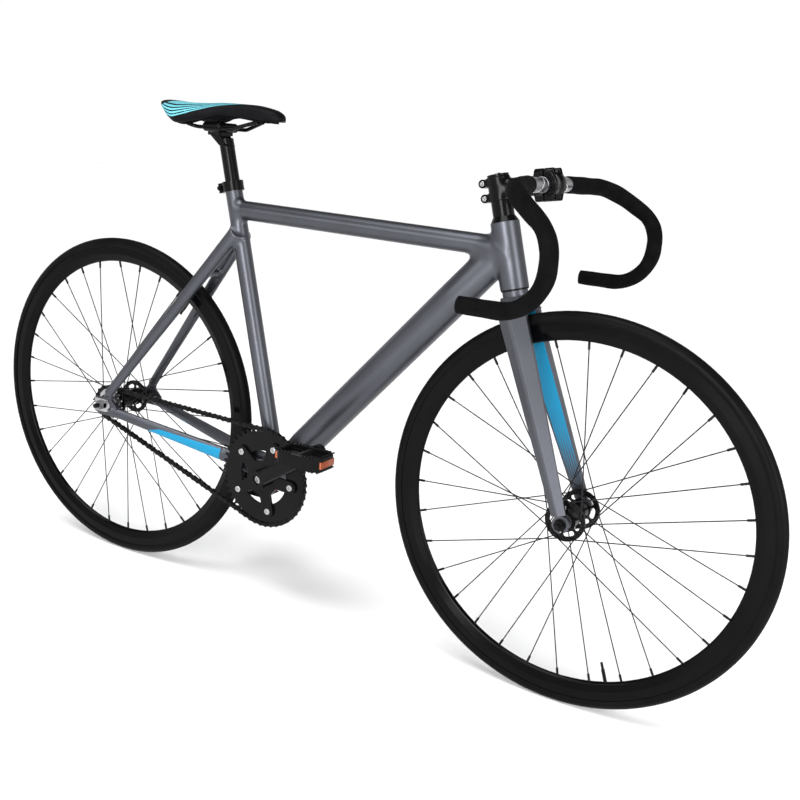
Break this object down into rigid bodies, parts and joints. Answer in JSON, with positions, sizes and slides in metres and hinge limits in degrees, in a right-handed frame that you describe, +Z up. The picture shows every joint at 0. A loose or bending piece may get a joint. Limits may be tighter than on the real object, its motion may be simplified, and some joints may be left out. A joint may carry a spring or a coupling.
{
  "type": "fixed gear bicycle",
  "caption": "Fixed gear bicycle with a satin gunmetal frame, bladed fork, drop bar with foam grips, deep rims, crossed spokes, one-speed chain drive and a narrow padded saddle.",
  "frame": {"origin": "on the ground, midway between the two axles and between the two sides", "axes": "+X forward, +Y to the rider's left, +Z up; the drive side is -Y"},
  "size_m": [1.6659, 0.515, 0.9446],
  "materials": {
    "frame_paint": "satin gunmetal paint",
    "black_alloy": "satin black anodised alloy",
    "silver_alloy": "polished alloy",
    "plain_alloy": "machined alloy",
    "spoke_black": "black coated steel",
    "steel": "plated steel",
    "valve_brass": "plated brass",
    "tyre_rubber": "matt black rubber",
    "saddle_skin": "stitched black synthetic leather with a pale blue rear",
    "black_plastic": "moulded black plastic",
    "amber_plastic": "amber reflector plastic",
    "grip_foam": "fine black foam"
  },
  "bodies": {
    "frame": {"head_tube": "frame_paint", "top_tube": "frame_paint", "down_tube": "frame_paint", "seat_tube": "frame_paint", "bottom_bracket_shell": "frame_paint", "chainstays": "frame_paint", "seatstays": "frame_paint", "stay_bridges": "frame_paint", "dropouts": "frame_paint", "dropout_liners": "silver_alloy", "seat_collar": "black_alloy", "bottom_bracket_cups": "steel", "headset_bearings": "steel", "chain": "steel", "rear_axle": "steel", "rear_axle_nuts": "steel"},
    "seat": {"seatpost": "black_alloy", "saddle_clamp": "steel", "saddle_rails": "steel", "saddle_shell": "black_plastic", "saddle_cover": "saddle_skin"},
    "steering": {"fork_crown": "black_alloy", "fork_steerer": "plain_alloy", "fork_blades": "black_alloy", "headset_covers": "black_alloy", "headset_spacers": "black_alloy", "stem_body": "black_alloy", "stem_faceplate": "black_alloy", "stem_bolts": "steel", "top_cap": "black_alloy", "handlebar": "silver_alloy", "grips": "grip_foam", "bar_end_plugs": "black_plastic", "front_axle": "steel", "front_axle_nuts": "steel"},
    "front_wheel": {"front_tyre": "tyre_rubber", "front_rim": "black_alloy", "front_spokes": "spoke_black", "front_nipples": "spoke_black", "front_valve": "valve_brass", "front_hub": "black_alloy", "front_hub_bearings": "steel"},
    "rear_wheel": {"rear_tyre": "tyre_rubber", "rear_rim": "black_alloy", "rear_spokes": "spoke_black", "rear_nipples": "spoke_black", "rear_valve": "valve_brass", "rear_hub": "black_alloy", "rear_hub_bearings": "steel", "rear_cog": "steel"},
    "crank": {"crank_right": "black_alloy", "crank_left": "black_alloy", "chainring": "black_alloy", "crank_bolts": "steel", "bottom_bracket_spindle": "steel", "pedal_spindles": "steel"},
    "pedal_right_body": {"pedal_right": "black_plastic", "pedal_reflectors_right": "amber_plastic"},
    "pedal_left_body": {"pedal_left": "black_plastic", "pedal_reflectors_left": "amber_plastic"}
  },
  "joints": [
    {"name": "steering", "type": "hinge", "parent": "frame", "child": "steering", "pos_m": [0.35532, 0, 0.68626], "axis": [-0.2706, 0, 0.9627], "range_deg": [-100, 100]},
    {"name": "front_wheel_spin", "type": "hinge", "parent": "steering", "child": "front_wheel", "pos_m": [0.499, 0, 0.334], "axis": [0, 1, 0], "continuous": true},
    {"name": "rear_wheel_spin", "type": "hinge", "parent": "frame", "child": "rear_wheel", "pos_m": [-0.499, 0, 0.334], "axis": [0, 1, 0], "continuous": true, "deforming": ["chain"]},
    {"name": "crank_spin", "type": "hinge", "parent": "frame", "child": "crank", "pos_m": [-0.0963, 0, 0.267], "axis": [0, 1, 0], "continuous": true, "deforming": ["chain"]},
    {"name": "pedal_right_spin", "type": "hinge", "parent": "crank", "child": "pedal_right_body", "pos_m": [0.04302, -0.113, 0.35541], "axis": [0, 1, 0], "continuous": true},
    {"name": "pedal_left_spin", "type": "hinge", "parent": "crank", "child": "pedal_left_body", "pos_m": [-0.23561, 0.113, 0.17859], "axis": [0, 1, 0], "continuous": true},
    {"name": "seat_height", "type": "slide", "parent": "frame", "child": "seat", "axis": [-0.2397, 0, 0.9708], "range_m": [-0.055, 0.12]}
  ],
  "couplings": [
    {"joint": "crank_spin", "follows": "rear_wheel_spin", "ratio": 0.34783}
  ]
}
